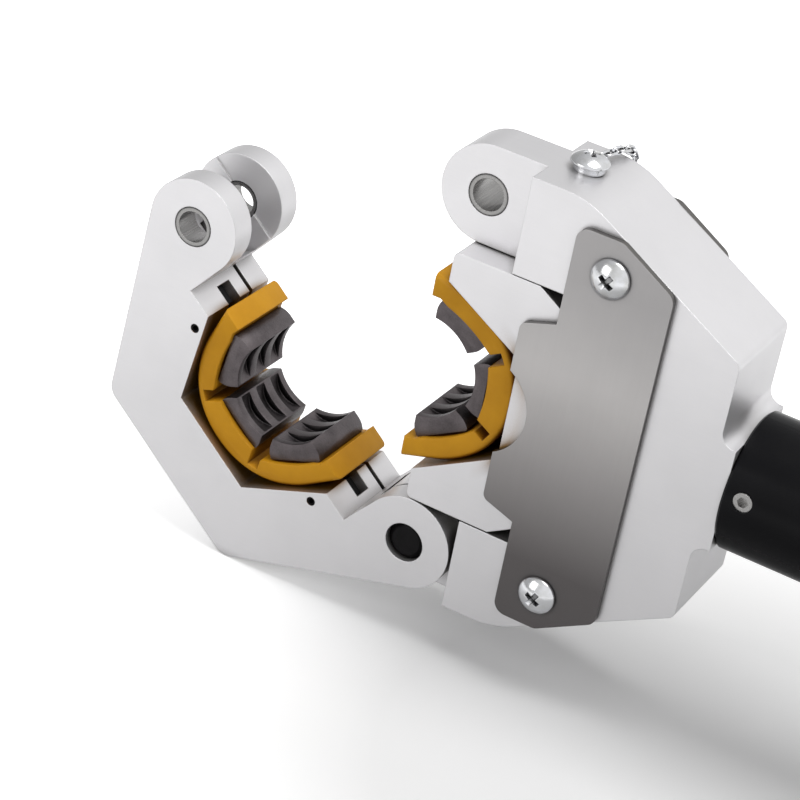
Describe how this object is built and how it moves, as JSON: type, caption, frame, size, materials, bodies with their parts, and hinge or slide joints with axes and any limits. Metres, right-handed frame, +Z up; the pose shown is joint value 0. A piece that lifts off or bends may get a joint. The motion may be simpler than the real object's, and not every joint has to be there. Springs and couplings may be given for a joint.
{
  "type": "hydraulic hose crimping tool",
  "caption": "Hand-pumped hydraulic hose crimper: swing jaw and yoke with ribbed die segments in urethane carriers, ram barrel, pump lever and reservoir handle.",
  "frame": {"origin": "the crimp axis, where the hose lies when the dies are shut, at mid width of the yoke", "axes": "+X along the ram towards the handle, Y along the hose, +Z up in the plane of the jaw"},
  "size_m": [0.5524, 0.0666, 0.1727],
  "materials": {
    "machined_aluminium": "fine machined, clear anodised",
    "plate_steel": "brushed stainless sheet",
    "zinc_steel": "bright zinc-plated screws and chain",
    "black_steel": "black oxide",
    "ground_steel": "ground steel",
    "die_steel": "grey sintered and hardened steel",
    "orange_urethane": "cast polyurethane, matt",
    "black_gloss": "black gloss coating",
    "seal_rubber": "nitrile rubber",
    "grip_rubber": "ribbed moulded rubber, matt",
    "black_plastic": "moulded, matt",
    "brass": "turned brass"
  },
  "bodies": {
    "yoke": {"head_frame": "machined_aluminium", "upper_lug_bush": "ground_steel", "lower_lug_bush": "ground_steel", "near_guide_plate": "plate_steel", "far_guide_plate": "plate_steel", "guide_plate_screws": "zinc_steel", "chain_screw": "zinc_steel", "chain_washers": "zinc_steel", "chain_tag": "zinc_steel", "anchor_chain": "zinc_steel", "rod_wiper": "seal_rubber", "barrel": "black_gloss", "barrel_set_screw": "zinc_steel", "pump_block": "black_gloss", "reservoir_tube": "black_gloss", "oil_bladder": "seal_rubber", "handle_grip": "grip_rubber", "handle_end_cap": "black_plastic", "filler_plug": "brass", "plunger_gland": "brass", "plunger_seal": "seal_rubber", "inlet_valve": "zinc_steel", "outlet_valve": "zinc_steel", "relief_valve": "zinc_steel"},
    "jaw": {"swing_jaw": "machined_aluminium", "jaw_ear_bushes": "ground_steel", "hinge_pin": "black_steel", "jaw_roll_pins": "black_steel", "jaw_die_catches": "black_plastic", "jaw_die_carrier": "orange_urethane", "jaw_middle_segment": "die_steel"},
    "jaw_upper_die": {"jaw_upper_segment": "die_steel"},
    "jaw_lower_die": {"jaw_lower_segment": "die_steel"},
    "ram": {"die_holder": "machined_aluminium", "holder_die_catches": "black_plastic", "holder_die_carrier": "orange_urethane", "holder_middle_segment": "die_steel", "ram_rod": "ground_steel", "piston": "ground_steel", "piston_seal": "seal_rubber", "piston_nut": "zinc_steel", "return_spring": "ground_steel"},
    "holder_upper_die": {"holder_upper_segment": "die_steel"},
    "holder_lower_die": {"holder_lower_segment": "die_steel"},
    "pump_lever": {"lever_fork": "black_gloss", "lever_tube": "black_gloss", "lever_grip": "grip_rubber", "plunger_cross_pin": "ground_steel", "lever_pivot_pin": "ground_steel"},
    "plunger": {"pump_plunger": "ground_steel"},
    "release_valve": {"release_valve_stem": "ground_steel", "release_valve_knob": "black_plastic"},
    "lock": {"locking_pin": "ground_steel", "hanging_chain": "zinc_steel"}
  },
  "joints": [
    {"name": "jaw_hinge", "type": "hinge", "parent": "yoke", "child": "jaw", "pos_m": [0.0132, 0, -0.0585], "axis": [0, 1, 0], "range_deg": [-20, 50.5]},
    {"name": "ram_slide", "type": "slide", "parent": "yoke", "child": "ram", "axis": [-1, 0, 0], "range_m": [0, 0.012], "stiffness_N_per_m": 2000, "springref_m": -0.02, "deforming": ["return_spring", "holder_die_carrier", "jaw_die_carrier"]},
    {"name": "holder_upper_slide", "type": "slide", "parent": "ram", "child": "holder_upper_die", "axis": [0.866, 0, -0.5], "range_m": [0, 0.0041]},
    {"name": "holder_lower_slide", "type": "slide", "parent": "ram", "child": "holder_lower_die", "axis": [0.866, 0, 0.5], "range_m": [0, 0.0041]},
    {"name": "jaw_upper_slide", "type": "slide", "parent": "jaw", "child": "jaw_upper_die", "axis": [-0.165, 0, -0.9863], "range_m": [0, 0.0041]},
    {"name": "jaw_lower_slide", "type": "slide", "parent": "jaw", "child": "jaw_lower_die", "axis": [-0.9367, 0, -0.3502], "range_m": [0, 0.0041]},
    {"name": "pump_lever_hinge", "type": "hinge", "parent": "yoke", "child": "pump_lever", "pos_m": [0.214, 0, 0.038], "axis": [0, -1, 0], "range_deg": [0, 35]},
    {"name": "plunger_slide", "type": "slide", "parent": "yoke", "child": "plunger", "axis": [0, 0, 1], "range_m": [0, 0.01323]},
    {"name": "release_valve_turn", "type": "hinge", "parent": "yoke", "child": "release_valve", "pos_m": [0.252, -0.03, 0], "axis": [0, 1, 0], "range_deg": [0, 270]},
    {"name": "locking_pin_swing", "type": "hinge", "parent": "yoke", "child": "lock", "pos_m": [0.04376, 0.0226, 0.07199], "axis": [1, 0, 0], "range_deg": [0, 60]}
  ],
  "couplings": [
    {"joint": "holder_upper_slide", "follows": "ram_slide", "ratio": 0.34167},
    {"joint": "holder_lower_slide", "follows": "ram_slide", "ratio": 0.34167},
    {"joint": "jaw_upper_slide", "follows": "ram_slide", "ratio": 0.34167},
    {"joint": "jaw_lower_slide", "follows": "ram_slide", "ratio": 0.34167},
    {"joint": "plunger_slide", "follows": "pump_lever_hinge", "m_per_rad": 0.02166}
  ]
}
